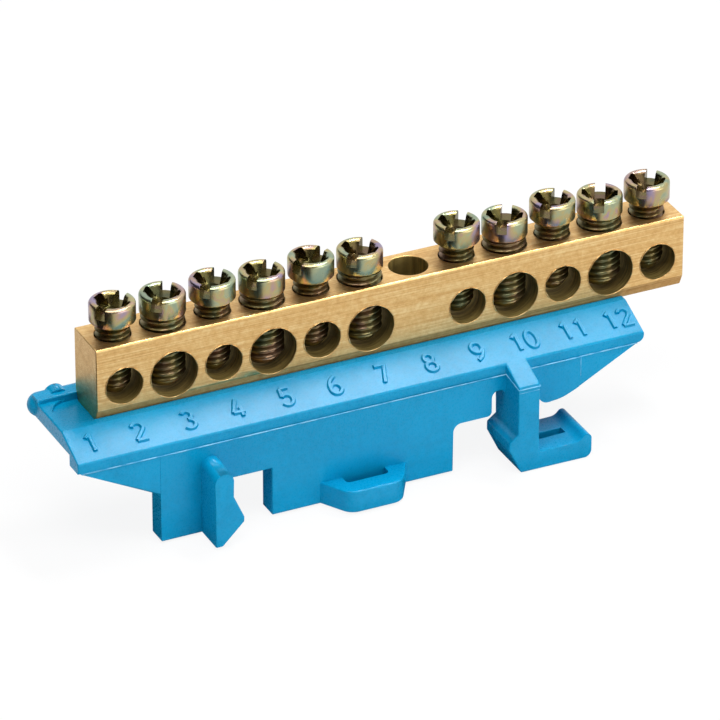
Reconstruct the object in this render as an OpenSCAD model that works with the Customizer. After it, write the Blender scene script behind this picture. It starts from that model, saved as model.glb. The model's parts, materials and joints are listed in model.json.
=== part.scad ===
// Neutral terminal bar on a rail carrier, in millimetres.
// A drilled brass bar with clamp screws lies in a blue moulding that snaps onto a 35 mm rail.
// Origin: rail centre (X), middle of the carrier's web (Y), face of the rail's flanges (Z).
// +X runs along the bar, +Y away from the numbered side, +Z up.

/* [Terminal bar] */
// Distance between neighbouring wire holes
pitch = 6; // [5.8:0.1:7]
// Bar left over past the first and last hole centres
end_margin = 3.3; // [3:0.1:5]
// Depth of the bar, front to back
bar_depth = 6; // [5.6:0.1:8]
// Height of the bar
bar_height = 9; // [8.6:0.1:11]
// Height of the bevel along the bar's lower edges
bar_bevel_height = 1.4; // [1.2:0.1:1.6]
// Depth of that bevel at the bar's underside
bar_bevel_depth = 0.63; // [0.4:0.01:0.9]
// Height of the wire holes' axes above the bar's underside
wire_axis_height = 3.9; // [3.6:0.02:4.4]
// Diameter of a small wire hole
small_wire_d = 4.5; // [4.3:0.05:4.7]
// Diameter of a large wire hole
large_wire_d = 5.7; // [5.5:0.05:5.8]
// Diameter of the plain upright fixing hole
fixing_d = 4.5; // [3.6:0.1:5]
// Middle of the bar from the rail's centre
bar_offset = 6.5; // [4:0.5:8]

/* [Clamp screws] */
// Thread diameter over a small wire hole
small_thread_d = 4; // [3.5:0.1:4.1]
// Thread diameter over a large wire hole
large_thread_d = 5; // [4.5:0.1:5.2]
// Gap round a thread in its tapped hole
thread_clearance = 0.05; // [0.03:0.01:0.08]
// Diameter of a screw head
head_d = 5.25; // [5.2:0.05:5.6]
// Height of a screw head
head_height = 2.6; // [2:0.1:3]
// Rounding of a head's top edge
head_round = 0.4; // [0.2:0.1:0.8]
// Chamfer under a head
head_chamfer = 0.35; // [0.1:0.05:0.4]
// Height of a small screw's head above the bar
small_lift = 1.55; // [1:0.05:2.5]
// Height of a large screw's head above the bar
large_lift = 1.15; // [0.8:0.05:2]
// Step from a thread's radius to its flat tip's radius
tip_chamfer = 0.85; // [0.7:0.05:1]
// Length of a screw's tapered tip
tip_taper = 1.2; // [1.1:0.1:1.5]
// Way left for a screw to go down before it meets its wire hole's wall
tip_room = 0.2; // [0.2:0.01:0.4]
// Width of the driver slot
slot_width = 1.2; // [0.8:0.1:1.4]
// Depth of the driver slot
slot_depth = 1.3; // [0.8:0.1:1.5]
// Length of the short cross arm
cross_length = 4.1; // [3.6:0.1:4.4]
// Width of the short cross arm
cross_width = 1.2; // [0.8:0.1:1.4]
// Width of the tapered hollow in the middle of a head
hollow_d = 3.6; // [2.4:0.1:3.8]
// Width of that hollow's floor
hollow_floor_d = 1.4; // [1:0.1:2]
// Depth of that hollow
hollow_depth = 1.8; // [1.5:0.1:2]

/* [Carrier shelf] */
// Height of the bar's seat above the rail's face
seat_height = 7.7; // [7:0.1:10]
// Gap between the bar and the channel's sides
seat_clearance = 0.05; // [0.02:0.01:0.1]
// Carrier past the bar's left end
left_margin = 4.6; // [4:0.1:7]
// Bar past the carrier's right end
right_overhang = 7.6; // [5:0.1:9]
// Wall at the channel's closed end
channel_wall = 0.9; // [0.6:0.1:1.5]
// Corner radius at the channel's closed end
channel_round = 2.6; // [1:0.1:2.7]
// Width of the rim in front of the channel
rim_width = 1.05; // [0.8:0.05:2]
// Depth of the channel below the rim
rim_height = 0.4; // [0.3:0.1:1]
// Depth of the number band, front to back
band_run = 4.53; // [4:0.1:7]
// Fall of the number band from rim to lip
band_drop = 1.9; // [1.2:0.1:2.2]
// Height of the upright lip below the band
lip_height = 1.24; // [0.9:0.02:1.4]
// Rounding of the lip's lower right corner
lip_round = 0.8; // [0.4:0.1:0.9]
// Thickness of the shelf under the bar
shelf_thickness = 1.5; // [1.2:0.1:2]
// Height of the rear ridge above the bar's seat
ridge_height = 0.95; // [0.6:0.05:1.6]
// Width of the ridge's flat top
ridge_width = 1.5; // [1:0.1:2.5]
// Radius of the bead along the ridge's back
bead_radius = 1.4; // [1.2:0.05:1.6]
// Bead past each end of the shelf
bead_overhang = 0.6; // [0.2:0.1:1]
// Length of the pip on the bead
pip_length = 1.8; // [1:0.1:3]
// Height of the pip on the bead
pip_height = 0.35; // [0.2:0.05:0.6]
// Pip's middle from the carrier's left end
pip_inset = 2.8; // [1.5:0.1:6]
// Diameter of the pilot hole under the fixing hole
pilot_d = 3.2; // [2.5:0.1:3.4]

/* [Web] */
// Thickness of the web
web_thickness = 2.5; // [2:0.1:3.5]
// Step by which the web's middle stands out from the lip
web_step = 0.1; // [0.1:0.05:0.3]
// Step by which the end gussets stand out from the lip
gusset_step = 0.05; // [0.02:0.01:0.08]
// Carrier's end to the gusset's tip
gusset_inset = 0.3; // [0.2:0.1:1]
// Reach of the web's feet below the rail's face
foot_depth = 6; // [5:0.1:7]
// Width of the rail block
block_width = 22.4; // [20:0.1:23]
// Fillet beside the rail block
block_fillet = 1; // [0.5:0.1:1.5]

/* [Rail grip] */
// Width of the rail
rail_width = 35; // [34.8:0.1:35.2]
// Gap between the hook's face and the rail
hook_play = 0.05; // [0.02:0.01:0.2]
// Gap between the latch arm's face and the rail
latch_play = 0.25; // [0.1:0.05:0.4]
// Thickness of the hook rib
hook_thickness = 2.25; // [1.8:0.05:3]
// Width of the leg beside the hook
leg_width = 4.85; // [3.5:0.05:6]
// Reach of the hook rib in front of the lip
hook_reach = 3.97; // [3:0.1:5]
// Top of the hook rib above the rail's face, at the web
hook_top = 3.55; // [2.8:0.05:4]
// Fall of the hook rib's top from web to front
hook_fall = 0.4; // [0.2:0.1:0.8]
// Reach of the hook's nose under the rail
hook_nose = 1.24; // [0.9:0.02:1.5]
// Depth at which the hook's nose is longest
hook_nose_depth = 2.8; // [2.2:0.1:3]
// Upright stretch at the hook nose's tip
nose_flat = 0.6; // [0.4:0.1:1]
// Flat under the hook's foot
hook_foot = 0.85; // [0.5:0.05:1.5]

/* [Latch] */
// Gap between the web and the latch arm
arm_gap = 1.75; // [1.2:0.05:2]
// Gap between the latch arm and the right gusset
gusset_gap = 1.53; // [1.2:0.01:2]
// Top of both gaps above the rail's face
arm_root = 3.1; // [2:0.1:3.4]
// Thickness of the latch arm
arm_thickness = 2.62; // [2:0.1:3.2]
// Reach of the latch arm in front of the lip
arm_reach = 3.37; // [2.5:0.1:5]
// Latch arm's foot below the rail's face
arm_depth = 6.25; // [5.6:0.05:7]
// Top of the latch nose below the rail's face
latch_top = 1.25; // [1.1:0.05:1.6]
// Reach of the latch nose under the rail
latch_nose = 1.1; // [0.8:0.05:1.4]
// Height of the nose's upper slope
latch_slope = 0.85; // [0.5:0.05:1.2]
// Upright stretch at the latch nose's tip
latch_flat = 1.05; // [0.6:0.05:1.3]
// Latch arm's lower edge from its face, under the nose's long lower slope
latch_lead = 0.4; // [0.2:0.1:0.8]
// Pull tab past the latch arm
tab_length = 6.63; // [5.5:0.1:9]
// Thickness of the pull tab
tab_thickness = 2.25; // [1.6:0.05:2.6]
// Pull tab past the web's back
tab_back = 0.63; // [0.3:0.01:1]
// Height of the lip at the tab's end
tab_lip_height = 0.7; // [0.6:0.1:1]
// Radius of that lip's round top
tab_lip_radius = 0.55; // [0.4:0.05:0.6]
// Radius of the scoop that runs up to that lip
tab_scoop = 1.2; // [0.8:0.1:1.2]
// Rounding of the tab's lower end
tab_round = 0.9; // [0.4:0.1:1.2]
// Width of the slot in the tab
tab_slot_width = 1.25; // [0.8:0.05:1.8]
// Tab left beyond its slot
tab_slot_end = 2; // [1.8:0.1:3]
// Slot's middle in front of the web's middle
tab_slot_y = 1.42; // [1:0.02:2]
// Flat under the right gusset
gusset_foot = 3; // [2.4:0.1:4]
// Rounding of the gusset's lower corner
gusset_round = 1.2; // [0.5:0.1:1.4]
// Radius between the gusset's flat and its slope
gusset_bend = 5; // [3:0.5:6]

/* [Lug] */
// Width of the lug where it leaves the web
lug_width = 10.6; // [9:0.1:13]
// Width across the lug's front corners
lug_front_width = 8; // [7.4:0.1:8.4]
// Reach of the lug in front of the lip
lug_reach = 3.67; // [3.2:0.1:5]
// Height of the lug
lug_height = 2.7; // [1.8:0.1:3.5]
// Radius of the lug's front corners
lug_round = 1.9; // [1:0.1:2.1]
// Width of the slot behind the lug
lug_slot_width = 5.26; // [4:0.02:5.6]
// Depth of that slot in front of the lip
lug_slot_depth = 1.44; // [1:0.02:1.6]
// Corner radius of that slot
lug_slot_round = 0.5; // [0.2:0.1:0.6]

/* [Hidden] */
$fn = 64;
// Overlap that carries one shape of the moulding into the next
bite = 0.5;
// Extra length with which a cut clears a face
clear = 1;

// Each position along the bar: its hole, its screw's slot angle from +Y towards +X, its screw's extra lift
positions = [
    ["small", 55, 0], ["large", 38, 0.1], ["small", 43, 0], ["large", 50, 0],
    ["small", 62, 0], ["large", 46, 0], ["plain", 0, 0], ["small", 44, 0.2],
    ["large", 34, 0], ["small", 46, 0.3], ["large", 29, 0], ["small", 42, 0]
];
count = len(positions);
screw_numbers = [for (n = [1:count]) if (hole_kind(n) != "plain") n];

function hole_kind(n) = positions[n - 1][0];
function slot_angle(n) = positions[n - 1][1];
function extra_lift(n) = positions[n - 1][2];
function is_large(n) = hole_kind(n) == "large";
function position_x(n) = bar_offset + (n - (count + 1) / 2) * pitch;
function wire_radius(n) = (is_large(n) ? large_wire_d : small_wire_d) / 2;
function thread_radius(n) = (is_large(n) ? large_thread_d : small_thread_d) / 2;
function seat_lift(n) = is_large(n) ? large_lift : small_lift;

function tip_radius(n) = thread_radius(n) - tip_chamfer;
// Height in the bar at which a screw's flat tip meets the wall of its round wire hole
function tip_stop(n) = wire_axis_height - sqrt(pow(wire_radius(n), 2) - pow(tip_radius(n), 2));
function shank_length(n) = bar_height + seat_lift(n) - tip_stop(n) - tip_room;

// Distance that the bar's lower bevel stands back at a height above the bar's underside
function bevel_at(height) = bar_bevel_depth * max(0, 1 - height / bar_bevel_height);

// Carrier profile, front to back and upwards
lip_front = -web_thickness / 2;
web_back = web_thickness / 2;
web_front = lip_front - web_step;
gusset_front = lip_front - gusset_step;
band_top = lip_front + band_run;
channel_front = band_top + rim_width;
bar_front = channel_front + seat_clearance - bevel_at(rim_height);
bar_middle = bar_front + bar_depth / 2;
bar_back = bar_front + bar_depth;
ridge_front = bar_back - bevel_at(ridge_height) + seat_clearance;
bead_y = ridge_front + ridge_width;
rim_z = seat_height + rim_height;
lip_top = rim_z - band_drop;
lip_bottom = lip_top - lip_height;
shelf_under = seat_height - shelf_thickness;
ridge_z = seat_height + ridge_height;
bead_z = ridge_z - bead_radius;
band_slope = band_drop / band_run;

// Carrier along the bar
bar_length = (count - 1) * pitch + 2 * end_margin;
bar_left = bar_offset - bar_length / 2;
bar_right = bar_left + bar_length;
carrier_left = bar_left - left_margin;
carrier_right = bar_right - right_overhang;
hook_face = -rail_width / 2 - hook_play;
hook_left = hook_face - hook_thickness;
hook_front = lip_front - hook_reach;
leg_left = hook_left - leg_width;
arm_left = rail_width / 2 + latch_play;
arm_right = arm_left + arm_thickness;
arm_front = lip_front - arm_reach;
notch_left = arm_left - arm_gap;
gusset_left = arm_right + gusset_gap;
gusset_right = carrier_right - lip_round;
tab_right = arm_right + tab_length;
tab_top = tab_thickness - arm_depth;
lug_front = lip_front - lug_reach;

// Extrudes an XZ outline from y0 to y1
module along_y(y0, y1) {
    translate([0, y1, 0]) rotate([90, 0, 0]) linear_extrude(y1 - y0) children();
}

// Extrudes a YZ outline from x0 to x1
module along_x(x0, x1) {
    translate([x0, 0, 0]) rotate([90, 0, 90]) linear_extrude(x1 - x0) children();
}

// Corner left between a square and the circle that rounds it, pointing to +X +Y from the corner
module spandrel(r) {
    difference() {
        square(r);
        translate([r, r]) circle(r);
    }
}

// Bar's section, bevelled along its two lower edges
module bar_section() {
    bevel_top = seat_height + bar_bevel_height;
    bar_top = seat_height + bar_height;
    polygon([
        [bar_front + bar_bevel_depth, seat_height], [bar_front, bevel_top], [bar_front, bar_top],
        [bar_back, bar_top], [bar_back, bevel_top], [bar_back - bar_bevel_depth, seat_height]
    ]);
}

// Bar with a wire hole and a tapped hole at each screw, and one plain fixing hole
module terminal_bar() {
    color("goldenrod") difference() {
        along_x(bar_left, bar_right) bar_section();
        for (n = [1:count]) translate([position_x(n), bar_middle, seat_height]) {
            if (hole_kind(n) == "plain") {
                translate([0, 0, -clear]) cylinder(d = fixing_d, h = bar_height + 2 * clear);
            } else {
                translate([0, 0, wire_axis_height]) rotate([90, 0, 0])
                    cylinder(r = wire_radius(n), h = bar_depth + 2 * clear, center = true);
                translate([0, 0, wire_axis_height])
                    cylinder(r = thread_radius(n) + thread_clearance, h = bar_height);
            }
        }
    }
}

// Half section of a screw, with its head's underside at zero
module screw_section(n) {
    shank = thread_radius(n);
    head = head_d / 2;
    polygon([
        [0, -shank_length(n)], [tip_radius(n), -shank_length(n)],
        [shank, tip_taper - shank_length(n)], [shank, 0],
        [head - head_chamfer, 0], [head, head_chamfer], [head, head_height - head_round],
        [head - head_round, head_height], [0, head_height]
    ]);
    translate([head - head_round, head_height - head_round]) intersection() {
        circle(head_round);
        square(head_round);
    }
}

// Clamp screw at position n, with a slot, a shorter cross arm and a tapered hollow in its head
module clamp_screw(n) {
    lift = bar_height + seat_lift(n) + extra_lift(n);
    flare = (hollow_d - hollow_floor_d) / hollow_depth;
    color("darkkhaki") translate([position_x(n), bar_middle, seat_height + lift]) difference() {
        rotate_extrude() screw_section(n);
        translate([0, 0, head_height - slot_depth]) rotate(-slot_angle(n)) {
            translate([-slot_width / 2, -head_d, 0]) cube([slot_width, 2 * head_d, head_height]);
            translate([-cross_length / 2, -cross_width / 2, 0]) cube([cross_length, cross_width, head_height]);
        }
        translate([0, 0, head_height - hollow_depth])
            cylinder(d1 = hollow_floor_d, d2 = hollow_d + clear * flare, h = hollow_depth + clear);
    }
}

// Shelf's section: lip, sloped number band, rim, rear ridge and underside
module shelf_section() {
    polygon([
        [lip_front, lip_bottom], [lip_front, lip_top], [band_top, rim_z], [ridge_front, rim_z],
        [ridge_front, ridge_z], [bead_y, ridge_z], [bead_y, shelf_under],
        [web_back, shelf_under], [web_back, lip_bottom]
    ]);
}

// Recess that the bar lies in: round at its closed left end, open at the right
module channel_plan() {
    left = carrier_left + channel_wall;
    difference() {
        translate([left, channel_front]) square([carrier_right - left + clear, ridge_front - channel_front]);
        translate([left, channel_front]) spandrel(channel_round);
        translate([left, ridge_front]) mirror([0, 1]) spandrel(channel_round);
    }
}

// Round bead with domed ends behind the ridge, and the small round pip on it
module bead() {
    length = carrier_right - carrier_left + 2 * bead_overhang;
    translate([carrier_left - bead_overhang, bead_y, bead_z]) rotate([0, 90, 0]) rotate_extrude() {
        translate([0, bead_radius]) square([bead_radius, length - 2 * bead_radius]);
        for (y = [bead_radius, length - bead_radius]) translate([0, y]) intersection() {
            circle(bead_radius);
            translate([0, -bead_radius]) square([bead_radius, 2 * bead_radius]);
        }
    }
    pip_radius = (pip_length * pip_length / 4 + pip_height * pip_height) / (2 * pip_height);
    translate([carrier_left + pip_inset, bead_y, ridge_z]) intersection() {
        translate([0, bead_radius / 2, pip_height - pip_radius]) rotate([90, 0, 0])
            cylinder(r = pip_radius, h = bead_radius);
        translate([-pip_length, -bead_radius / 2, -bead_radius])
            cube([2 * pip_length, bead_radius, bead_radius + pip_height]);
    }
}

module shelf() {
    difference() {
        along_x(carrier_left, carrier_right) shelf_section();
        along_y(lip_front - clear, web_back) translate([carrier_right, lip_bottom])
            mirror([1, 0]) spandrel(lip_round);
        translate([0, 0, seat_height]) linear_extrude(ridge_height + clear) channel_plan();
        translate([position_x(7), bar_middle, shelf_under - clear]) cylinder(d = pilot_d, h = seat_height);
    }
    bead();
}

// Gap beside the latch arm, with a round top
module arm_slot(left, right) {
    r = (right - left) / 2;
    translate([left, -foot_depth]) square([right - left, foot_depth + arm_root - r]);
    translate([left + r, arm_root - r]) circle(r);
}

// Corner that the bend between the right gusset's flat and its slope takes off
module gusset_corner() {
    turn = atan2(lip_bottom, gusset_right - gusset_left - gusset_foot);
    run = gusset_bend * tan(turn / 2);
    translate([gusset_left + gusset_foot, 0]) difference() {
        polygon([[-run, 0], [0, -bite], [run * cos(turn), run * sin(turn)]]);
        translate([-run, gusset_bend]) circle(gusset_bend);
    }
}

// Web's outline: left gusset, leg, rail block, latch root and right gusset
module web_outline(top) {
    difference() {
        polygon([
            [carrier_left + gusset_inset, top], [carrier_left + gusset_inset, lip_bottom],
            [leg_left, 0], [leg_left, -foot_depth],
            [hook_left + hook_foot, -foot_depth], [hook_left + hook_foot, 0],
            [-block_width / 2, 0], [-block_width / 2, -foot_depth],
            [block_width / 2, -foot_depth], [block_width / 2, 0],
            [gusset_left + gusset_foot, 0],
            [gusset_right, lip_bottom], [gusset_right, top]
        ]);
        arm_slot(notch_left, arm_left);
        arm_slot(arm_right, gusset_left);
        translate([notch_left, 0]) mirror([1, 0]) spandrel(arm_gap / 3);
        translate([gusset_left, 0]) spandrel(gusset_round);
        gusset_corner();
    }
    translate([block_width / 2, 0]) mirror([0, 1]) spandrel(block_fillet);
}

// Web: the end gussets lie a little behind the middle stretch
module web() {
    along_y(gusset_front, web_back) web_outline(lip_bottom);
    along_y(web_front, lip_front + bite) intersection() {
        web_outline(lip_bottom);
        translate([leg_left, -foot_depth]) square([tab_right - leg_left, foot_depth + lip_bottom]);
    }
}

// Fixed hook: a rib with an arched, slightly falling top and a nose that goes under the rail
module hook() {
    r = hook_thickness / 2;
    tilt = atan(hook_fall / hook_reach);
    along_y(hook_front, web_back) polygon([
        [hook_left, 0], [hook_left, -foot_depth], [hook_left + hook_foot, -foot_depth],
        [hook_face + hook_nose, -hook_nose_depth - nose_flat], [hook_face + hook_nose, -hook_nose_depth],
        [hook_face, 0]
    ]);
    along_x(hook_left, hook_face) polygon([
        [hook_front, -bite], [0, -bite], [0, hook_top - r],
        [lip_front, hook_top - r], [hook_front, hook_top - hook_fall - r]
    ]);
    intersection() {
        translate([hook_left, hook_front, 0]) cube([hook_thickness, -hook_front, hook_top + clear]);
        translate([hook_left + r, lip_front, hook_top - r]) rotate([90 + tilt, 0, 0])
            cylinder(r = r, h = 2 * (hook_reach + bite), center = true);
    }
}

// Springy latch arm with its nose, its top running on from the number band
module latch_arm() {
    nose = arm_left - latch_nose;
    nose_top = -latch_top - latch_slope;
    intersection() {
        along_x(nose, arm_right) polygon([
            [web_back, -arm_depth], [arm_front, -arm_depth],
            [arm_front, lip_top - band_slope * arm_reach], [lip_front, lip_top],
            [lip_front + bite, lip_top - bite], [web_back, lip_bottom]
        ]);
        along_y(arm_front - clear, web_back + clear) polygon([
            [arm_left, lip_top + clear], [arm_left, -latch_top], [nose, nose_top], [nose, nose_top - latch_flat],
            [arm_left + latch_lead, -arm_depth], [arm_left + latch_lead, -arm_depth - clear],
            [arm_right, -arm_depth - clear], [arm_right, lip_top + clear]
        ]);
    }
}

// Round lip at the tab's end and the scoop that runs up to it
module tab_lip() {
    lip_z = tab_lip_height - tab_lip_radius;
    reach = tab_scoop + tab_lip_radius;
    rise = tab_scoop - lip_z;
    run = sqrt(reach * reach - rise * rise);
    translate([tab_right - tab_lip_radius, tab_top]) {
        translate([0, lip_z]) circle(tab_lip_radius);
        translate([0, -bite]) square([tab_lip_radius, bite + lip_z]);
        difference() {
            translate([-run, -bite]) square([run, bite + lip_z + tab_lip_radius * rise / reach]);
            translate([-run, tab_scoop]) circle(tab_scoop);
        }
    }
}

// Pull tab with a raised lip at its end and a slot through it
module pull_tab() {
    slot_length = tab_length - tab_slot_end;
    difference() {
        along_y(arm_front, web_back + tab_back) difference() {
            union() {
                translate([arm_right - bite, -arm_depth]) square([tab_length + bite, tab_thickness]);
                tab_lip();
            }
            translate([tab_right, -arm_depth]) mirror([1, 0]) spandrel(tab_round);
        }
        translate([arm_right, -tab_slot_y - tab_slot_width / 2, -arm_depth - clear])
            cube([slot_length, tab_slot_width, tab_thickness + 2 * clear]);
    }
}

// Point where the line from (x, y) touches the circle of radius r round (cx, cy), on its outer side
function tangent_point(x, y, cx, cy, r) =
    let (reach = norm([x - cx, y - cy]), turn = atan2(y - cy, x - cx) - acos(r / reach))
    [cx + r * cos(turn), cy + r * sin(turn)];

// Looped lug under the rail block
module lug() {
    corner_x = lug_front_width / 2 - lug_round;
    corner_y = lug_front + lug_round;
    flank = tangent_point(lug_width / 2, web_front, corner_x, corner_y, lug_round);
    slot_front = lip_front - lug_slot_depth;
    translate([0, 0, -foot_depth]) linear_extrude(lug_height) difference() {
        union() {
            polygon([
                [-lug_width / 2, lip_front], [-lug_width / 2, web_front], [-flank[0], flank[1]],
                [-corner_x, lug_front], [corner_x, lug_front],
                flank, [lug_width / 2, web_front], [lug_width / 2, lip_front]
            ]);
            for (side = [-1, 1]) translate([side * corner_x, corner_y]) circle(lug_round);
        }
        difference() {
            translate([-lug_slot_width / 2, slot_front]) square([lug_slot_width, lug_slot_depth + bite]);
            for (side = [-1, 1]) translate([side * lug_slot_width / 2, slot_front])
                mirror([side > 0 ? 1 : 0, 0]) spandrel(lug_slot_round);
        }
    }
}

// Carrier: one moulding
module carrier() {
    color("cornflowerblue") union() {
        shelf();
        web();
        hook();
        latch_arm();
        pull_tab();
        lug();
    }
}

terminal_bar();
carrier();
for (n = screw_numbers) clamp_screw(n);
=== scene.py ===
"""Looks of a neutral terminal bar: brass bar, chromated clamp screws and a blue rail carrier, in metres."""
import json
import math

import bmesh
import bpy
import numpy as np
from mathutils import Matrix, Vector


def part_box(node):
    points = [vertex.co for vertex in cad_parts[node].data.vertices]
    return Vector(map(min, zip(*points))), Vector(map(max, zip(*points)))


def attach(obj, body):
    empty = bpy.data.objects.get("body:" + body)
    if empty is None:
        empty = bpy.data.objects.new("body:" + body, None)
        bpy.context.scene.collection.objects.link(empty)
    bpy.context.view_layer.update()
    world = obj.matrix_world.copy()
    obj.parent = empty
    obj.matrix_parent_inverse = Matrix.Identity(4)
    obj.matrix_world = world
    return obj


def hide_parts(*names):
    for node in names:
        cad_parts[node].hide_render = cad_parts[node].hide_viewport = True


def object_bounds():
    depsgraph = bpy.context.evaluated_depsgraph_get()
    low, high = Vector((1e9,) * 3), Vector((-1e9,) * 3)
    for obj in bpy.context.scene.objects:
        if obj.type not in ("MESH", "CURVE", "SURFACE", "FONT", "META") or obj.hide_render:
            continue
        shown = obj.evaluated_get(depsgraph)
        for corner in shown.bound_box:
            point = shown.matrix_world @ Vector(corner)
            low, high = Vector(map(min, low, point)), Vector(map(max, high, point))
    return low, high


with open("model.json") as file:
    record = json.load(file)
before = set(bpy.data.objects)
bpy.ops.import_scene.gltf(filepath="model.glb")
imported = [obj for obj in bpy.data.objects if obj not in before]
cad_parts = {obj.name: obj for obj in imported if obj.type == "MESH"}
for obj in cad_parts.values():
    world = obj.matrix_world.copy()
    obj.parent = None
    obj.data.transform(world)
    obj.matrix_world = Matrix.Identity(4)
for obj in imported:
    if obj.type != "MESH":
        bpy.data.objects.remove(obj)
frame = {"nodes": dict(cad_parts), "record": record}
cad_box = [[float(c) for c in corner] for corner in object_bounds()]

# Carrier
# One injection moulding in blue polypropylene. Its shelf carries the bar, and its web has a hook,
# a looped lug and a springy latch for the rail. Its outer edges come out of the tool a little rounded.
MM = 0.001
PLASTIC_TINT = [(0.66, "#028ab8"), (1.0, "#0395c5")]
PLASTIC_GLOSS = (0.23, 0.33)
PLASTIC_IOR = 1.49
PLASTIC_SPECULAR = 0.2
FLOW_SIZE = 9 * MM
FLECK_SIZE = 0.7 * MM
FLECK_SHARE = 0.7
GRAIN_SIZE = 0.22 * MM
GRAIN_DEPTH = 0.02 * MM
WELD_DISTANCE = 0.001 * MM
FLAT_ANGLE = math.radians(0.3)
SHARP_EDGE = math.radians(28)
CARRIER_EDGE = 0.15 * MM
EDGE_SEGMENTS = 3
SHORT_EDGE = 0.12 * MM
LEAST_ROOM = 0.32 * MM
ROOM_SHARES = np.array([[0.15], [0.5], [0.85]])


def linear(hex_colour):
    """sRGB hex to a linear RGBA colour."""
    srgb = np.array([int(hex_colour[i:i + 2], 16) for i in (1, 3, 5)]) / 255
    rgb = np.where(srgb <= 0.04045, srgb / 12.92, ((srgb + 0.055) / 1.055) ** 2.4)
    return (*rgb.tolist(), 1.0)


def add_node(tree, kind, settings=None, links=None):
    """Adds one shader node: settings are its properties or input values, links feed its inputs."""
    node = tree.nodes.new(kind)
    for key, value in (settings or {}).items():
        if isinstance(key, str) and hasattr(node, key):
            setattr(node, key, value)
        else:
            node.inputs[key].default_value = value
    for key, source in (links or {}).items():
        tree.links.new(source, node.inputs[key])
    return node


def new_material(name):
    """A material with its node tree and its main shader."""
    material = bpy.data.materials.new(name)
    material.use_nodes = True
    return material, material.node_tree, material.node_tree.nodes["Principled BSDF"]


def ramp_colours(ramp, stops):
    """Sets a colour ramp's stops from (place, hex) pairs."""
    elements = ramp.color_ramp.elements
    while len(elements) < len(stops):
        elements.new(1.0)
    for element, (place, colour) in zip(elements, stops):
        element.position = place
        element.color = linear(colour)


def moulded_polypropylene():
    """Polypropylene off a fine-eroded steel tool: slightly clouded and flecked colour over 9 mm and 0.7 mm,
    a satin gloss and a grain of about 0.2 mm."""
    material, tree, shader = new_material("blue_polypropylene_moulded")
    place = add_node(tree, "ShaderNodeTexCoord").outputs["Object"]
    flow = add_node(tree, "ShaderNodeTexNoise", {"Scale": 1 / FLOW_SIZE, "Detail": 3.0}, {"Vector": place})
    grain = add_node(tree, "ShaderNodeTexNoise", {"Scale": 1 / GRAIN_SIZE, "Detail": 2.0}, {"Vector": place})
    fleck = add_node(tree, "ShaderNodeTexNoise", {"Scale": 1 / FLECK_SIZE, "Detail": 3.0}, {"Vector": place})
    mix = add_node(tree, "ShaderNodeMath", {"operation": "MULTIPLY_ADD", 1: FLECK_SHARE},
                   {0: fleck.outputs["Fac"], 2: flow.outputs["Fac"]})
    tint = add_node(tree, "ShaderNodeValToRGB", links={"Fac": mix.outputs["Value"]})
    ramp_colours(tint, PLASTIC_TINT)
    gloss = add_node(tree, "ShaderNodeMapRange", {"To Min": PLASTIC_GLOSS[0], "To Max": PLASTIC_GLOSS[1]},
                     {"Value": grain.outputs["Fac"]})
    bump = add_node(tree, "ShaderNodeBump", {"Strength": 0.25, "Distance": GRAIN_DEPTH},
                    {"Height": grain.outputs["Fac"]})
    shader.inputs["IOR"].default_value = PLASTIC_IOR
    shader.inputs["Specular IOR Level"].default_value = PLASTIC_SPECULAR
    tree.links.new(tint.outputs["Color"], shader.inputs["Base Color"])
    tree.links.new(gloss.outputs["Result"], shader.inputs["Roughness"])
    tree.links.new(bump.outputs["Normal"], shader.inputs["Normal"])
    return material


def merged_copy(node_name):
    """A bmesh of a CAD node with its loose triangles welded and its flat faces joined."""
    mesh = bmesh.new()
    mesh.from_mesh(frame["nodes"][node_name].data)
    bmesh.ops.remove_doubles(mesh, verts=mesh.verts, dist=WELD_DISTANCE)
    bmesh.ops.dissolve_limit(mesh, angle_limit=FLAT_ANGLE, verts=mesh.verts, edges=mesh.edges)
    return mesh


def room_beside(edge, face):
    """The least distance from three points of an edge to the edges of a face that don't touch it,
    or to the far corner of a face with three corners."""
    first, last = (np.array(vert.co) for vert in edge.verts)
    points = first + ROOM_SHARES * (last - first)
    apart = [other for other in face.edges if not set(other.verts) & set(edge.verts)]
    if not apart:
        apex = np.array([vert.co[:] for vert in face.verts if vert not in edge.verts])
        return np.linalg.norm(apex - points, axis=1).min()
    ends = np.array([[vert.co[:] for vert in other.verts] for other in apart])
    start = ends[:, 0]
    span = ends[:, 1] - start
    share = np.einsum("pod,od->po", points[:, None] - start, span) / np.sum(span ** 2, axis=1)
    nearest = start + np.clip(share, 0, 1)[..., None] * span
    return np.linalg.norm(nearest - points[:, None], axis=-1).min()


def weigh_sharp_edges(mesh, weight=None, least_room=LEAST_ROOM):
    """Gives a bevel weight to each outward edge that is sharp and has room on both its faces."""
    layer = mesh.edges.layers.float.new("bevel_weight_edge")
    for edge in mesh.edges:
        if len(edge.link_faces) != 2 or edge.calc_face_angle(0.0) < SHARP_EDGE or not edge.is_convex:
            continue
        if edge.calc_length() < SHORT_EDGE:
            continue
        if min(room_beside(edge, face) for face in edge.link_faces) < least_room:
            continue
        edge[layer] = 1.0 if weight is None else weight(edge)


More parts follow.
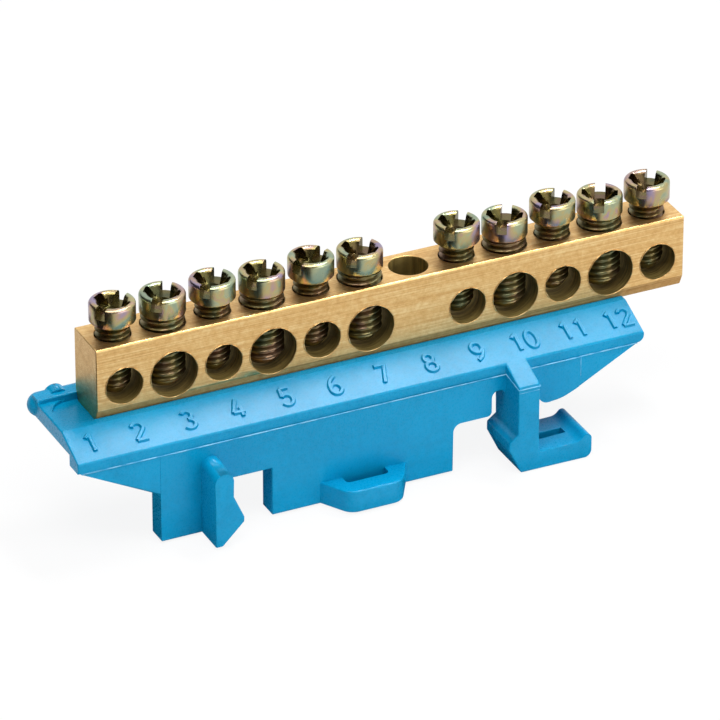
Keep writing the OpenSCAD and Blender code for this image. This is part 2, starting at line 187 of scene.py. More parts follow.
def finished_piece(name, mesh, material, edge_width, body, node_name):
    """Turns a bmesh into a piece with rounded edges that stands for a CAD node."""
    data = bpy.data.meshes.new(name)
    mesh.to_mesh(data)
    mesh.free()
    data.polygons.foreach_set("use_smooth", np.ones(len(data.polygons), bool))
    data.set_sharp_from_angle(angle=SHARP_EDGE)
    data.materials.append(material)
    piece = bpy.data.objects.new(name, data)
    bpy.context.scene.collection.objects.link(piece)
    bevel = piece.modifiers.new("rounded_edges", "BEVEL")
    bevel.limit_method = "WEIGHT"
    bevel.width = edge_width
    bevel.segments = EDGE_SEGMENTS
    bevel.use_clamp_overlap = False
    normals = piece.modifiers.new("flat_faces_stay_flat", "WEIGHTED_NORMAL")
    normals.keep_sharp = True
    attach(piece, body)
    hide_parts(node_name)
    return piece


polypropylene = moulded_polypropylene()
carrier_mesh = merged_copy("carrier")
weigh_sharp_edges(carrier_mesh)
finished_piece("carrier_moulding", carrier_mesh, polypropylene, CARRIER_EDGE,
               "bar_and_carrier", "carrier")

# Raised numbers
# Figures 1 to 12 stand a fraction of a millimetre proud of the sloped band, cut into the moulding tool with
# a round cutter, so they are the same plastic as the carrier. They sit a little closer than the wire holes.
NUMBER_COUNT = 12
NUMBER_HEIGHT = 2.35 * MM
NUMBER_STEP_IN = 0.78
NUMBER_FIRST_X = -32.0 * MM
NUMBER_STEP = 5.92 * MM
NUMBER_ALONG_BAND = 0.51
STROKE_WIDTH = 0.6 * MM
STROKE_TOP = 0.3 * MM
STROKE_STAND = 0.27 * MM
STROKE_SINK = 0.08 * MM
STROKE_LOWER = 0.012 * MM
BAND_LOW = np.array([-1.25, 6.2]) * MM
BAND_HIGH = np.array([3.28, 8.1]) * MM


def arc(x, y, across, along, start, stop, steps=22):
    """Points of an ellipse's arc round (x, y): across * cos, along * sin, from start to stop in degrees."""
    turn = np.radians(np.linspace(start, stop, steps))
    return np.stack([x + across * np.cos(turn), y + along * np.sin(turn)], axis=-1)


def line(*points):
    """A straight stroke through the given points."""
    return np.array(points, float)


# Each figure's strokes in units of its height, drawn as a cutter would run
FIGURES = {
    "0": [arc(0.29, 0.5, 0.27, 0.5, 90, 450, 40)],
    "1": [line((0.12, 0.78), (0.34, 0.99)), line((0.34, 1.0), (0.34, 0.0))],
    "2": [np.vstack([arc(0.29, 0.73, 0.27, 0.27, 165, -38), line((0.03, 0.02))]),
          line((0.03, 0.0), (0.58, 0.0))],
    "3": [arc(0.27, 0.755, 0.24, 0.245, 150, -90), arc(0.27, 0.255, 0.28, 0.255, 90, -150)],
    "4": [line((0.36, 1.0), (0.03, 0.27)), line((0.03, 0.26), (0.62, 0.26)),
          line((0.44, 0.52), (0.44, 0.0))],
    "5": [line((0.54, 1.0), (0.12, 1.0)), line((0.12, 1.0), (0.08, 0.52)),
          arc(0.28, 0.31, 0.28, 0.31, 138, -150)],
    "6": [arc(0.29, 0.29, 0.27, 0.29, 90, 450, 36), arc(0.72, 0.34, 0.7, 0.74, 112, 176)],
    "7": [line((0.03, 1.0), (0.56, 1.0)), line((0.56, 1.0), (0.22, 0.0))],
    "8": [arc(0.29, 0.765, 0.22, 0.235, 90, 450, 34), arc(0.29, 0.265, 0.27, 0.265, 90, 450, 36)],
    "9": [arc(0.29, 0.71, 0.27, 0.29, 90, 450, 36), arc(-0.14, 0.66, 0.7, 0.74, -68, -4)],
}


def tube_faces(count, sides, ring=False):
    """Faces of a tube whose points stand in count rows of so many sides: four corners each, and a flat face
    at either end. A ring joins its last row to its first and has no ends."""
    here, corner = np.meshgrid(np.arange(count if ring else count - 1), np.arange(sides), indexing="ij")
    there = (here + 1) % count
    beside = (corner + 1) % sides
    corners = [here * sides + corner, here * sides + beside, there * sides + beside, there * sides + corner]
    faces = np.stack(corners, -1).reshape(-1, 4).tolist()
    if not ring:
        faces.append(list(range(sides))[::-1])
        faces.append(list(range((count - 1) * sides, count * sides)))
    return faces


def stroke_ridge(path, stand_up):
    """Carries a flat-topped ridge along a stroke. Across the stroke stand six points: the two sunk feet,
    the two edges at the band's surface and the two edges of the narrower top. A ring has no ends."""
    ring = np.allclose(path[0], path[-1])
    if ring:
        middle = path[:-1]
        ahead = np.roll(middle, -1, axis=0) - np.roll(middle, 1, axis=0)
    else:
        middle = path
        ahead = np.gradient(middle, axis=0)
    ahead = ahead / np.linalg.norm(ahead, axis=1, keepdims=True)
    side = np.stack([-ahead[:, 1], ahead[:, 0]], axis=-1)
    half = STROKE_WIDTH / 2
    top = STROKE_TOP / 2
    across = np.array([-half, -half, -top, top, half, half])
    stand = np.array([-STROKE_SINK, 0.0, stand_up, stand_up, 0.0, -STROKE_SINK])
    flat = middle[:, None, :] + side[:, None, :] * across[None, :, None]
    rise = np.broadcast_to(stand[None, :, None], flat.shape[:2] + (1,))
    points = np.concatenate([flat, rise], axis=-1)
    return points.reshape(-1, 3), tube_faces(len(middle), len(across), ring)


def joined(surfaces):
    """Joins surfaces, each a pair of points and faces, into one such pair."""
    all_points = np.vstack([points for points, faces in surfaces])
    all_faces = []
    start = 0
    for points, faces in surfaces:
        all_faces.extend([start + corner for corner in face] for face in faces)
        start += len(points)
    return all_points, all_faces


def surface_piece(name, surface, material, body, crease=None):
    """Turns points and faces into a smooth piece that faces outwards and keeps the edges past the crease."""
    points, faces = surface
    data = bpy.data.meshes.new(name)
    data.from_pydata(points.tolist(), [], faces)
    mesh = bmesh.new()
    mesh.from_mesh(data)
    bmesh.ops.recalc_face_normals(mesh, faces=mesh.faces)
    mesh.to_mesh(data)
    mesh.free()
    data.polygons.foreach_set("use_smooth", np.ones(len(data.polygons), bool))
    if crease is not None:
        data.set_sharp_from_angle(angle=crease)
    data.materials.append(material)
    piece = bpy.data.objects.new(name, data)
    bpy.context.scene.collection.objects.link(piece)
    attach(piece, body)


up_band = (BAND_HIGH - BAND_LOW) / np.linalg.norm(BAND_HIGH - BAND_LOW)
number_axes = np.array([[1, 0, 0], [0, up_band[0], up_band[1]], [0, -up_band[1], up_band[0]]])
on_band = BAND_LOW + NUMBER_ALONG_BAND * (BAND_HIGH - BAND_LOW)
ridges = []
for n in range(1, NUMBER_COUNT + 1):
    strokes = [s + [k * NUMBER_STEP_IN, 0] for k, c in enumerate(str(n)) for s in FIGURES[c]]
    every = np.vstack(strokes)
    centre = (every.min(axis=0) + every.max(axis=0)) / 2
    middle = np.array([NUMBER_FIRST_X + (n - 1) * NUMBER_STEP, on_band[0], on_band[1]])
    for order, stroke in enumerate(strokes):
        # Each later stroke stands a hair lower, so that crossing tops never lie in one plane
        stand_up = STROKE_STAND - order * STROKE_LOWER
        points, faces = stroke_ridge((stroke - centre) * NUMBER_HEIGHT, stand_up)
        ridges.append((points @ number_axes + middle, faces))
surface_piece("raised_numbers", joined(ridges), polypropylene, "bar_and_carrier", SHARP_EDGE)

# Parting line
# A hair of flash where the two halves of the moulding tool meet, along the foot of the lip and round the
# top of the latch arm, with finer marks of the tool's inserts. Its paler colour is painted highlight,
# where the raised line catches the light.
# Painted highlight: the flash is paler than the carrier.
FLASH_HIGHLIGHT_TINT = [(0.4, "#45a9d8"), (0.6, "#8acdec")]
FLASH_PATCH = 1.5 * MM
FLASH_ROUGHNESS = 0.55
FLASH_SPECULAR = 0.25
FLASH_RADIUS = 0.07 * MM
MARK_RADIUS = 0.035 * MM
FLASH_SIDES = 8
FLASH_LEAN = np.array([0.2, 0.3, 0.93])
FLASH_PATH = np.array([[-34.0, -1.33, 4.95], [-24.7, -1.33, 4.95], [-24.6, -1.38, 4.95], [17.72, -1.38, 4.95],
                       [17.72, -4.65, 4.5], [20.40, -4.65, 4.5], [20.40, -1.38, 4.95], [26.9, -1.38, 4.95],
                       [27.1, -1.33, 4.95], [34.3, -1.33, 4.95]]) * MM
ARM_MARK = np.array([[17.8, -4.62, 4.05], [20.32, -4.62, 4.05]]) * MM
GUSSET_MARK = np.array([[27.2, -1.31, 4.9], [27.2, -1.31, 2.4]]) * MM


def flash_polypropylene():
    """Flash of polypropylene: dull, and paler than the carrier in patches of about 1.5 mm, a painted
    highlight.
    """
    material, tree, shader = new_material("blue_polypropylene_flash_painted_highlight")
    place = add_node(tree, "ShaderNodeTexCoord").outputs["Object"]
    patchy = add_node(tree, "ShaderNodeTexNoise", {"Scale": 1 / FLASH_PATCH, "Detail": 2.0},
                      {"Vector": place})
    tint = add_node(tree, "ShaderNodeValToRGB", links={"Fac": patchy.outputs["Fac"]})
    ramp_colours(tint, FLASH_HIGHLIGHT_TINT)
    shader.inputs["Roughness"].default_value = FLASH_ROUGHNESS
    shader.inputs["Specular IOR Level"].default_value = FLASH_SPECULAR
    shader.inputs["IOR"].default_value = PLASTIC_IOR
    tree.links.new(tint.outputs["Color"], shader.inputs["Base Color"])
    return material


def flash_tube(path, radius):
    """A round thread along a path: at each point stands a circle, radius * (outward cos t + upward sin t),
    in the plane that halves the path's turn there."""
    ahead = np.diff(path, axis=0)
    ahead = ahead / np.linalg.norm(ahead, axis=1, keepdims=True)
    along = np.vstack([ahead[:1], ahead[:-1] + ahead[1:], ahead[-1:]])
    along = along / np.linalg.norm(along, axis=1, keepdims=True)
    upward = FLASH_LEAN - along * (along @ FLASH_LEAN)[:, None]
    upward = upward / np.linalg.norm(upward, axis=1, keepdims=True)
    outward = np.cross(along, upward)
    turn = np.linspace(0, 2 * np.pi, FLASH_SIDES, endpoint=False)
    sideways = outward[:, None, :] * np.cos(turn)[None, :, None]
    upwards = upward[:, None, :] * np.sin(turn)[None, :, None]
    points = path[:, None, :] + radius * (sideways + upwards)
    return points.reshape(-1, 3), tube_faces(len(path), FLASH_SIDES)


flash_runs = [flash_tube(FLASH_PATH, FLASH_RADIUS), flash_tube(ARM_MARK, MARK_RADIUS),
              flash_tube(GUSSET_MARK, MARK_RADIUS)]
surface_piece("parting_line", joined(flash_runs), flash_polypropylene(), "bar_and_carrier")

# Terminal bar
# A length of drawn brass bar, cross-drilled for the wires and drilled and tapped from above for the screws.
# The drawing die leaves fine lines along it, and drilling leaves a small broken edge at each hole.
BRASS_TINT = [(0.55, "#bb8f58"), (0.79, "#d7ae70"), (0.96, "#e8ca92")]
BRASS_GLOSS = (0.3, 0.52)
BEVEL_GLOSS = (0.7, 0.85)
LINE_LENGTH = 20 * MM
LINE_WIDTH = 0.14 * MM
LINE_DEPTH = 0.03 * MM
TARNISH_SIZE = 0.8 * MM
TARNISH_SHARE = 0.6
# Painted shade: the walls of the holes are brown and darker than the bar.
BORE_PAINTED_SHADE_TINT = [(0.35, "#8a7846"), (0.68, "#bea868")]
BORE_ROUGHNESS = 0.62
DRILL_MARK = 0.3 * MM
DRILL_MARK_LENGTH = 4 * MM
DRILL_MARK_DEPTH = 0.04 * MM
BAR_EDGE = 0.2 * MM
SLIGHT_EDGE = 0.5
EDGE_ON_PLANE = 0.002 * MM
FACE_ON_PLANE = 0.01 * MM
BEVEL_FACES_DOWN = -0.2
BEVEL_FACES_OUT = 0.5
BURR_THICKNESS = 0.05 * MM
BURR_STEPS = 90
BURR_SIDES = 6
BURR_WAVES = ((5, 0.45, 1), (13, 0.35, 2))


def drawn_brass(name, shine):
    """Drawn brass: warm yellow metal, lines of about 0.14 mm along X, and a faint uneven tarnish."""
    material, tree, shader = new_material(name)
    place = add_node(tree, "ShaderNodeTexCoord").outputs["Object"]
    line_scale = (1 / LINE_LENGTH, 1 / LINE_WIDTH, 1 / LINE_WIDTH)
    stretch = add_node(tree, "ShaderNodeMapping", {"Scale": line_scale}, {"Vector": place})
    lines = add_node(tree, "ShaderNodeTexNoise", {"Scale": 1.0, "Detail": 5.0, "Roughness": 0.7},
                     {"Vector": stretch.outputs["Vector"]})
    tarnish = add_node(tree, "ShaderNodeTexNoise",
                       {"Scale": 1 / TARNISH_SIZE, "Detail": 6.0, "Roughness": 0.75}, {"Vector": place})
    mix = add_node(tree, "ShaderNodeMath", {"operation": "MULTIPLY_ADD", 1: TARNISH_SHARE},
                   {0: tarnish.outputs["Fac"], 2: lines.outputs["Fac"]})
    tint = add_node(tree, "ShaderNodeValToRGB", links={"Fac": mix.outputs["Value"]})
    ramp_colours(tint, BRASS_TINT)
    gloss = add_node(tree, "ShaderNodeMapRange", {"To Min": shine[0], "To Max": shine[1]},
                     {"Value": lines.outputs["Fac"]})
    bump = add_node(tree, "ShaderNodeBump", {"Strength": 0.4, "Distance": LINE_DEPTH},
                    {"Height": lines.outputs["Fac"]})
    shader.inputs["Metallic"].default_value = 1.0
    tree.links.new(tint.outputs["Color"], shader.inputs["Base Color"])
    tree.links.new(gloss.outputs["Result"], shader.inputs["Roughness"])
    tree.links.new(bump.outputs["Normal"], shader.inputs["Normal"])
    return material


def drilled_brass():
    """Brass left by a drill: matt, with marks of about 0.3 mm along Y, and brown and darker than the bar as
    painted shade.
    """
    material, tree, shader = new_material("brass_drilled_painted_shade")
    place = add_node(tree, "ShaderNodeTexCoord").outputs["Object"]
    mark_scale = (1 / DRILL_MARK_LENGTH, 1 / DRILL_MARK, 1 / DRILL_MARK_LENGTH)
    rings = add_node(tree, "ShaderNodeMapping", {"Scale": mark_scale}, {"Vector": place})
    marks = add_node(tree, "ShaderNodeTexNoise", {"Scale": 1.0, "Detail": 4.0},
                     {"Vector": rings.outputs["Vector"]})
    tint = add_node(tree, "ShaderNodeValToRGB", links={"Fac": marks.outputs["Fac"]})
    ramp_colours(tint, BORE_PAINTED_SHADE_TINT)
    bump = add_node(tree, "ShaderNodeBump", {"Strength": 0.6, "Distance": DRILL_MARK_DEPTH},
                    {"Height": marks.outputs["Fac"]})
    shader.inputs["Metallic"].default_value = 1.0
    shader.inputs["Roughness"].default_value = BORE_ROUGHNESS
    tree.links.new(tint.outputs["Color"], shader.inputs["Base Color"])
    tree.links.new(bump.outputs["Normal"], shader.inputs["Normal"])
    return material


bar_low, bar_high = (np.array(corner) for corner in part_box("terminal_bar"))


def bar_edge_weight(edge):
    """How far an edge of the bar is broken: most along its upper front edge, not at all inside its holes."""
    ends = np.array([vert.co[:] for vert in edge.verts])
    near_low = np.all(np.abs(ends - bar_low) < EDGE_ON_PLANE, axis=0)
    near_high = np.all(np.abs(ends - bar_high) < EDGE_ON_PLANE, axis=0)
    if near_low[1] and near_high[2]:
        return 1.0
    return SLIGHT_EDGE if near_low.any() or near_high.any() else 0.0


def bar_finish(face):
    """Which of the bar's materials a face has: 0 on its ends, top, underside and sides, 1 in its holes,
    darker for painted shade, and 2 on its lower bevels, which face down and to the front or the back."""
    middle = np.array(face.calc_center_median())
    from_outside = np.minimum(np.abs(middle - bar_low), np.abs(middle - bar_high))
    if from_outside.min() < FACE_ON_PLANE:
        return 0
    return 2 if face.normal[2] < BEVEL_FACES_DOWN and abs(face.normal[1]) > BEVEL_FACES_OUT else 1


brass = drawn_brass("brass_drawn", BRASS_GLOSS)
bar_mesh = merged_copy("terminal_bar")
weigh_sharp_edges(bar_mesh, bar_edge_weight)
for face in bar_mesh.faces:
    face.material_index = bar_finish(face)
bar = finished_piece("terminal_bar_brass", bar_mesh, brass, BAR_EDGE,
                     "bar_and_carrier", "terminal_bar")
bar.data.materials.append(drilled_brass())
bar.data.materials.append(drawn_brass("brass_drawn_matt", BEVEL_GLOSS))


def burr_ring(centre, radius):
    """A broken burr round a hole's front edge. At angle a round the hole's axis, along Y, its thickness is
    BURR_THICKNESS times 1 plus a sum of waves, amount * sin(count * a + share * s). Here s is its X in
    millimetres."""
    a = np.linspace(0, 2 * np.pi, BURR_STEPS, endpoint=False)[:, None]
    b = np.linspace(0, 2 * np.pi, BURR_SIDES, endpoint=False)[None, :]
    s = centre[0] / MM
    waves = sum(amount * np.sin(count * a + share * s) for count, amount, share in BURR_WAVES)
    thick = BURR_THICKNESS * (1 + waves)
    reach = radius + thick * np.cos(b)
    points = np.stack([centre[0] + reach * np.cos(a), centre[1] + thick * np.sin(b),
                       centre[2] + reach * np.sin(a)], -1)
    return points.reshape(-1, 3), tube_faces(BURR_STEPS, BURR_SIDES, ring=True)


wire_holes = [mount for mount in frame["record"]["mounts"] if mount["name"].startswith("wire_hole")]
burrs = [burr_ring(hole["pos_m"], hole["dims"]["r_mm"] * MM) for hole in wire_holes]
surface_piece("drilling_burrs", joined(burrs), brass, "bar_and_carrier")

# Clamp screws
# Steel screws with a slotted cheese head and a cross recess, cold headed, thread rolled, zinc plated and
# yellow chromated, so their colour runs from gold to green and pink. They clamp the wires in the cross holes.
SMALL_SCREWS = (1, 3, 5, 8, 10, 12)
LARGE_SCREWS = (2, 4, 6, 9, 11)
HEAD_HEIGHT = 2.6 * MM
HEAD_CUT = 0.01 * MM
HEAD_ROOM = 0.1 * MM
HOLLOW_RADIUS = 1.8 * MM
HOLLOW_EDGE = 0.26 * MM
SLOT_END_EDGE = 0.2 * MM
SAME_HEIGHT = 0.002 * MM
SAME_RADIUS = 0.02 * MM
NEAR_HOLLOW = 0.05 * MM
NEAR_AXIS = 0.01 * MM
BELOW_RIM = 0.05 * MM
RECESS_FACES_OUT = 0.25
RECESS_FACES_DOWN = -0.5
THREADS = {"small": (2.0 * MM, 0.7 * MM), "large": (2.5 * MM, 0.8 * MM)}
THREAD_INSET = 0.015 * MM
THREAD_INTO_HEAD = 0.05 * MM
THREAD_DEPTH = 0.61
HALF_CREST = 0.0625
THREAD_FLANK = 0.3125
THREAD_CREASE = math.radians(40)
TIP_STEP = 0.85 * MM
TIP_TAPER = 1.2 * MM
ROUND_STEPS = 72
STEPS_PER_TURN = 14
FILM_SIZE = 3.2 * MM
ZINC_GRAIN = 0.3 * MM
ZINC_GRAIN_DEPTH = 0.02 * MM
ZINC_TINT = [(0.34, "#8e9d86"), (0.43, "#a5aa88"), (0.5, "#b5a674"), (0.57, "#b39784"), (0.66, "#9b8da6")]
ZINC_GLOSS = (0.23, 0.38)
# Painted shade: the hollow and slots of each head get darker chromate colours than the rest of the head.
RECESS_PAINTED_SHADE_TINT = [(0.35, "#54563a"), (0.5, "#6e6439"), (0.65, "#6e5743")]
RECESS_GLOSS = (0.2, 0.36)
# Painted shade: the threads, in the holes and under the heads, get darker chromate colours than the heads.
THREAD_PAINTED_SHADE_TINT = [(0.35, "#686b50"), (0.5, "#7d714b"), (0.65, "#836b56")]
THREAD_GLOSS = (0.3, 0.44)


def chromated_zinc(name, stops, shine):
    """Yellow chromate on zinc: a bright metal whose film drifts from olive to gold and lilac over 3 mm.
    Copies with darker stops carry painted shade.
    """
    material, tree, shader = new_material(name)
    place = add_node(tree, "ShaderNodeTexCoord").outputs["Object"]
    film = add_node(tree, "ShaderNodeTexNoise", {"Scale": 1 / FILM_SIZE, "Detail": 3.0, "Distortion": 0.8},
                    {"Vector": place})
    grain = add_node(tree, "ShaderNodeTexNoise", {"Scale": 1 / ZINC_GRAIN, "Detail": 2.0}, {"Vector": place})
    tint = add_node(tree, "ShaderNodeValToRGB", links={"Fac": film.outputs["Fac"]})
    ramp_colours(tint, stops)
    gloss = add_node(tree, "ShaderNodeMapRange", {"To Min": shine[0], "To Max": shine[1]},
                     {"Value": grain.outputs["Fac"]})
    bump = add_node(tree, "ShaderNodeBump", {"Strength": 0.12, "Distance": ZINC_GRAIN_DEPTH},
                    {"Height": grain.outputs["Fac"]})
    shader.inputs["Metallic"].default_value = 1.0
    tree.links.new(tint.outputs["Color"], shader.inputs["Base Color"])
    tree.links.new(gloss.outputs["Result"], shader.inputs["Roughness"])
    tree.links.new(bump.outputs["Normal"], shader.inputs["Normal"])
    return material


def thread_surface(radius, pitch, bottom, top):
    """Points and faces of a rolled thread round Z. At angle a and height h the surface stands at radius minus
    depth times w, where w is a trapezoid wave of the phase h / pitch minus a / turn. The tip tapers."""
    rows = int((top - bottom) / pitch * STEPS_PER_TURN) + 1
    height = np.linspace(bottom, top, rows)[:, None]
    angle = np.linspace(0, 2 * np.pi, ROUND_STEPS, endpoint=False)[None, :]
    phase = np.mod(height / pitch - angle / (2 * np.pi), 1.0)
    wave = np.clip((np.abs(phase - 0.5) - HALF_CREST) / THREAD_FLANK, 0, 1)
    reach = radius - THREAD_DEPTH * pitch * wave
    reach = np.minimum(reach, radius - TIP_STEP + (height - bottom) * TIP_STEP / TIP_TAPER)
    points = np.stack([reach * np.cos(angle), reach * np.sin(angle), height + 0 * angle], axis=-1)
    return points.reshape(-1, 3), tube_faces(rows, ROUND_STEPS)


def screw_head(node_name, underside):
    """The head of a CAD screw, cut from its shank just above the head's underside and closed there."""
    mesh = merged_copy(node_name)
    whole = mesh.verts[:] + mesh.edges[:] + mesh.faces[:]
    bmesh.ops.bisect_plane(mesh, geom=whole, plane_co=(0, 0, underside + HEAD_CUT), plane_no=(0, 0, 1),
                           clear_inner=True, dist=WELD_DISTANCE)
    open_edges = [edge for edge in mesh.edges if len(edge.link_faces) == 1]
    bmesh.ops.holes_fill(mesh, edges=open_edges)
    return mesh


def head_edge_weight(edge, axis, top):
    """How far an edge of a head is rounded: most at the hollow's rim, less at the outer ends of the slots,
    and not elsewhere, because the outer rim is already round."""
    ends = np.array([vert.co[:] for vert in edge.verts])
    from_axis = np.hypot(ends[:, 0] - axis[0], ends[:, 1] - axis[1])
    if np.any(np.abs(ends[:, 2] - top) > SAME_HEIGHT) or np.ptp(from_axis) > SAME_RADIUS:
        return 0.0
    return 1.0 if abs(from_axis[0] - HOLLOW_RADIUS) < NEAR_HOLLOW else SLOT_END_EDGE / HOLLOW_EDGE


def is_in_recess(face, axis, top):
    """True for a face of a head's hollow or slots: below the rim, facing the axis, along it or upwards."""
    middle = np.array(face.calc_center_median())
    outward = (middle - [axis[0], axis[1], 0])[:2]
    outward = outward / max(np.linalg.norm(outward), NEAR_AXIS)
    faces_out = face.normal[0] * outward[0] + face.normal[1] * outward[1]
    faces_inside = faces_out < RECESS_FACES_OUT and face.normal[2] > RECESS_FACES_DOWN
    return bool(faces_inside and middle[2] < top - BELOW_RIM)


zinc = chromated_zinc("steel_zinc_yellow_chromate", ZINC_TINT, ZINC_GLOSS)
recess_painted_shade_zinc = chromated_zinc("steel_zinc_recess_painted_shade", RECESS_PAINTED_SHADE_TINT, RECESS_GLOSS)
thread_painted_shade_zinc = chromated_zinc("steel_zinc_thread_painted_shade", THREAD_PAINTED_SHADE_TINT, THREAD_GLOSS)
for n in sorted(SMALL_SCREWS + LARGE_SCREWS):
    node_name = f"clamp_screw_{n}"
    low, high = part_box(node_name)
    radius, pitch = THREADS["large" if n in LARGE_SCREWS else "small"]
    underside = high[2] - HEAD_HEIGHT
    axis = [(low[0] + high[0]) / 2, (low[1] + high[1]) / 2]
    head = screw_head(node_name, underside)
    weigh_sharp_edges(head, lambda edge: head_edge_weight(edge, axis, high[2]), HEAD_ROOM)
    # The hollow and slots take the darker zinc, which is painted shade.
    for face in head.faces:
        face.material_index = 1 if is_in_recess(face, axis, high[2]) else 0
    screw = finished_piece(f"clamp_screw_{n}_chromated", head, zinc, HOLLOW_EDGE,
                           f"screw_{n}", node_name)
    screw.data.materials.append(recess_painted_shade_zinc)
    points, faces = thread_surface(radius - THREAD_INSET, pitch, low[2], underside + THREAD_INTO_HEAD)
    points[:, :2] += axis
    surface_piece(f"clamp_screw_{n}_thread", (points, faces), thread_painted_shade_zinc,
                  f"screw_{n}", THREAD_CREASE)

# Floor and light
# A pale card floor under the part in a white room, lit by four soft lamps. Black card to the left and behind
# the camera is there for the metal to mirror. Black card under the part is its shadow on the floor, painted
# for mirrors. None of them is seen in any other way.
FLOOR_HEX = "#f3f3f3"
FLOOR_ROUGHNESS = 0.9
FLOOR_GLOW = 0.9
FLOOR_GAP = 0.05 * MM
FLOOR_SPAN = np.array([-0.8, 0.8])
BLACK_CARD_HEX = "#272727"
WHITE_HEX = "#ffffff"
ROOM_LIGHT = 0.14
PAINTED_SHADOW_X = np.array([-38, 45]) * MM
PAINTED_SHADOW_Y = np.array([-7, 45]) * MM
SCREEN_DISTANCE = 1.2
SCREEN_STEPS = 13
# Each screen's name, and its first and last turn and elevation in degrees
SCREENS = (
    ("screen_left", (-125, -22), (-75, 12)),
    ("screen_behind_camera", (-168, 12), (12, 72)),
)
# Each lamp's name, place and size in metres, and power in watts
LAMPS = (
    ("top_softbox", (0.173, 0.07, 0.44), (0.2, 0.08), 1.3),
    ("front_high_softbox", (0.32, -0.46, 0.7), (0.35, 0.25), 1.3),
    ("overhead_softbox", (-0.1, -0.18, 0.58), (0.4, 0.3), 2.3),
    ("front_right_softbox", (0.45, -0.85, 0.17), (0.9, 0.3), 2.4),
)


def white_room():
    """White as seen directly or in a mirror, and dimmer as a lamp."""
    world = bpy.data.worlds.new("white_room")
    world.use_nodes = True
    bpy.context.scene.world = world
    tree = world.node_tree
    rays = add_node(tree, "ShaderNodeLightPath")
    seen = add_node(tree, "ShaderNodeMath", {"operation": "MAXIMUM"},
                    {0: rays.outputs["Is Camera Ray"], 1: rays.outputs["Is Transmission Ray"]})
    seen_or_mirrored = add_node(tree, "ShaderNodeMath", {"operation": "MAXIMUM"},
                                {0: seen.outputs["Value"], 1: rays.outputs["Is Glossy Ray"]})
    strength = add_node(tree, "ShaderNodeMapRange", {"To Min": ROOM_LIGHT, "To Max": 1.0},
                        {"Value": seen_or_mirrored.outputs["Value"]})
    tree.links.new(strength.outputs["Result"], tree.nodes["Background"].inputs["Strength"])
    tree.nodes["Background"].inputs["Color"].default_value = linear(WHITE_HEX)


def stage_sheet(name, grid, material):
    """A sheet of the studio through a grid of points, given as rows."""
    rows, columns = grid.shape[:2]
    row, column = np.meshgrid(np.arange(rows - 1), np.arange(columns - 1), indexing="ij")
    corner = row * columns + column
    faces = np.stack([corner, corner + 1, corner + columns + 1, corner + columns], -1).reshape(-1, 4)
    data = bpy.data.meshes.new(name)
    data.from_pydata(grid.reshape(-1, 3).tolist(), [], faces.tolist())
    data.materials.append(material)
    sheet = bpy.data.objects.new(name, data)
    bpy.context.scene.collection.objects.link(sheet)
    return sheet


def level_sheet(name, across, along, material):
    """A level sheet just under the part, over a span in X and a span in Y."""
    x, y = np.meshgrid(across, along)
    return stage_sheet(name, np.stack([x, y, 0 * x + cad_box[0][2] - FLOOR_GAP], -1), material)


def only_mirrored(sheet):
    """Leaves a sheet to be seen by mirrors alone."""
    sheet.visible_camera = False
    sheet.visible_diffuse = False
    sheet.visible_shadow = False


def black_screen(name, turns, heights, material):
    """A round black screen that only mirrors show: at turn t from the front towards the right, and at
    elevation e, it stands at distance * (sin t cos e, -cos t cos e, sin e)."""
    t = np.radians(np.linspace(*turns, SCREEN_STEPS))[None, :]
    e = np.radians(np.linspace(*heights, SCREEN_STEPS))[:, None]
    grid = np.stack([np.sin(t) * np.cos(e), -np.cos(t) * np.cos(e), np.sin(e) + 0 * t], -1)
    only_mirrored(stage_sheet(name, SCREEN_DISTANCE * grid, material))


def white_card():
    """White card that is part lit from within for the camera, so that only a soft shadow shows on it."""
    material, tree, shader = new_material("white_card_floor")
    shader.inputs["Base Color"].default_value = linear(FLOOR_HEX)
    shader.inputs["Roughness"].default_value = FLOOR_ROUGHNESS
    rays = add_node(tree, "ShaderNodeLightPath")
    share = add_node(tree, "ShaderNodeMath", {"operation": "MULTIPLY", 1: FLOOR_GLOW},
                     {0: rays.outputs["Is Camera Ray"]})
    glow = add_node(tree, "ShaderNodeEmission", {"Color": linear(WHITE_HEX), "Strength": 1.0})
    mix = add_node(tree, "ShaderNodeMixShader",
                   links={0: share.outputs["Value"], 1: shader.outputs["BSDF"], 2: glow.outputs["Emission"]})
    tree.links.new(mix.outputs["Shader"], tree.nodes["Material Output"].inputs["Surface"])
    return material


def black_card():
    """Matt black card."""
    material, _, shader = new_material("black_card")
    shader.inputs["Base Color"].default_value = linear(BLACK_CARD_HEX)
    shader.inputs["Roughness"].default_value = 1.0
    return material


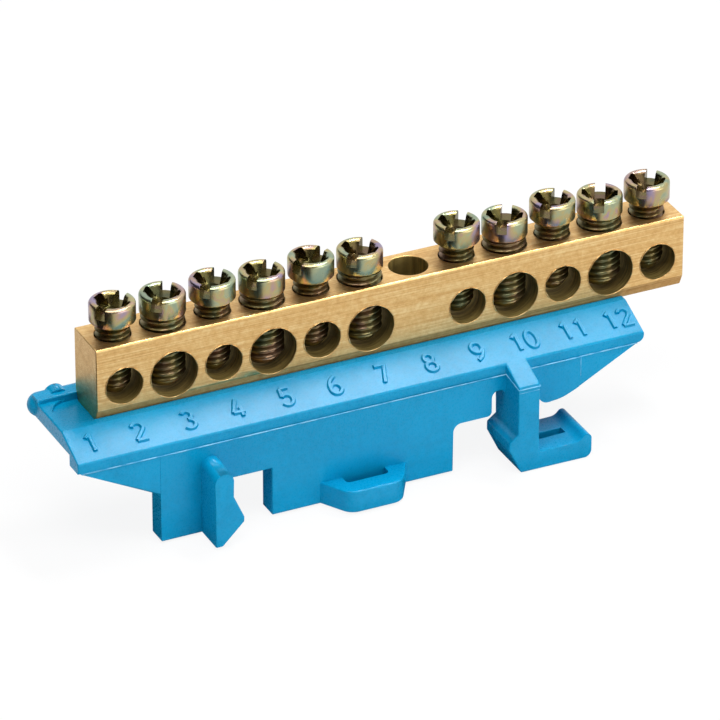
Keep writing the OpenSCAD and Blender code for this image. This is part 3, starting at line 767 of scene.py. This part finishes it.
def soft_lamp(name, place, size, power, target):
    """A softbox that looks at a point of the part."""
    light = bpy.data.lights.new(name, "AREA")
    light.shape = "RECTANGLE"
    light.size, light.size_y = size
    light.energy = power
    lamp = bpy.data.objects.new(name, light)
    lamp.location = place
    lamp.rotation_euler = (Vector(target) - Vector(place)).to_track_quat("-Z", "Y").to_euler()
    bpy.context.scene.collection.objects.link(lamp)


white_room()
floor = level_sheet("floor", FLOOR_SPAN, FLOOR_SPAN, white_card())
floor.visible_glossy = False
matt_black = black_card()
# Painted shadow: a black sheet under the part stands for its shadow on the floor, as mirrors see it.
only_mirrored(level_sheet("painted_shadow_under_part", PAINTED_SHADOW_X, PAINTED_SHADOW_Y, matt_black))
for name, turns, heights in SCREENS:
    black_screen(name, turns, heights, matt_black)
part_middle = (np.array(cad_box[0]) + np.array(cad_box[1])) / 2
for name, place, size, power in LAMPS:
    soft_lamp(name, place, size, power, part_middle)

# Camera
# A long lens stands in front of the part, to its left and above it, at the photograph's angle.
# It has no shift and no depth of field, and its frame is taken to be 720 x 720 pixels.
VIEW_AZIMUTH = math.radians(-25.5)
VIEW_ELEVATION = math.radians(29.49)
VIEW_DISTANCE = 731 * MM
VIEW_TARGET = np.array([5.0, 4.0, 6.0]) * MM
VIEW_SLIDE = np.array([-2.57, 1.0]) * MM
FOCAL_PIXELS = 6534
IMAGE_PIXELS = 720
SENSOR_WIDTH = 36.0
NEAREST_SEEN = 10 * MM

back = np.array([math.sin(VIEW_AZIMUTH) * math.cos(VIEW_ELEVATION),
                 -math.cos(VIEW_AZIMUTH) * math.cos(VIEW_ELEVATION), math.sin(VIEW_ELEVATION)])
right = np.array([math.cos(VIEW_AZIMUTH), math.sin(VIEW_AZIMUTH), 0.0])
up = np.cross(back, right)
stand = VIEW_TARGET + VIEW_SLIDE[0] * right + VIEW_SLIDE[1] * up + VIEW_DISTANCE * back
lens = bpy.data.cameras.new("photo_camera")
lens.sensor_width = SENSOR_WIDTH
lens.lens = FOCAL_PIXELS / IMAGE_PIXELS * SENSOR_WIDTH
lens.clip_start = NEAREST_SEEN
camera = bpy.data.objects.new("photo_camera", lens)
camera.matrix_world = Matrix([[right[i], up[i], back[i], stand[i]] for i in range(3)] + [[0, 0, 0, 1]])
bpy.context.scene.collection.objects.link(camera)
bpy.context.scene.camera = camera
bpy.context.scene.view_settings.view_transform = "Standard"
